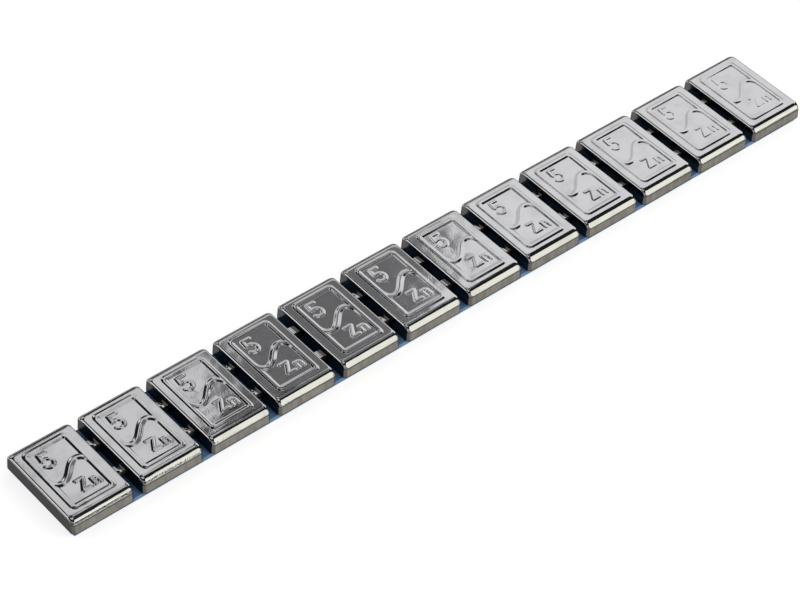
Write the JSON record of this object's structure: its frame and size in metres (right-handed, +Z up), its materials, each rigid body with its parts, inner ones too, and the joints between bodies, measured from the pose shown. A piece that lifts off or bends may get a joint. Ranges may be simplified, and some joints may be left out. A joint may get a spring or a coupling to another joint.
{
  "type": "wheel balance weight",
  "caption": "Stick-on wheel balance weight strip: snap-apart zinc blocks with sloped shoulders and a framed relief, joined by break bars on blue foam tape.",
  "frame": {"origin": "middle of the strip, on the underside of the release liner", "axes": "+X along the strip, +Y across it towards the top of the numerals, +Z up through the raised faces"},
  "size_m": [0.1686, 0.0194, 0.0042],
  "materials": {
    "zinc_casting": "bright die-cast zinc, smooth and mirror-like on top, duller on the sides",
    "foam_tape": "matte blue foam with a tacky skin",
    "liner_film": "thin smooth film"
  },
  "bodies": {
    "root": {"weight_strip": "zinc_casting", "adhesive_tape": "foam_tape", "release_liner": "liner_film"}
  },
  "joints": []
}
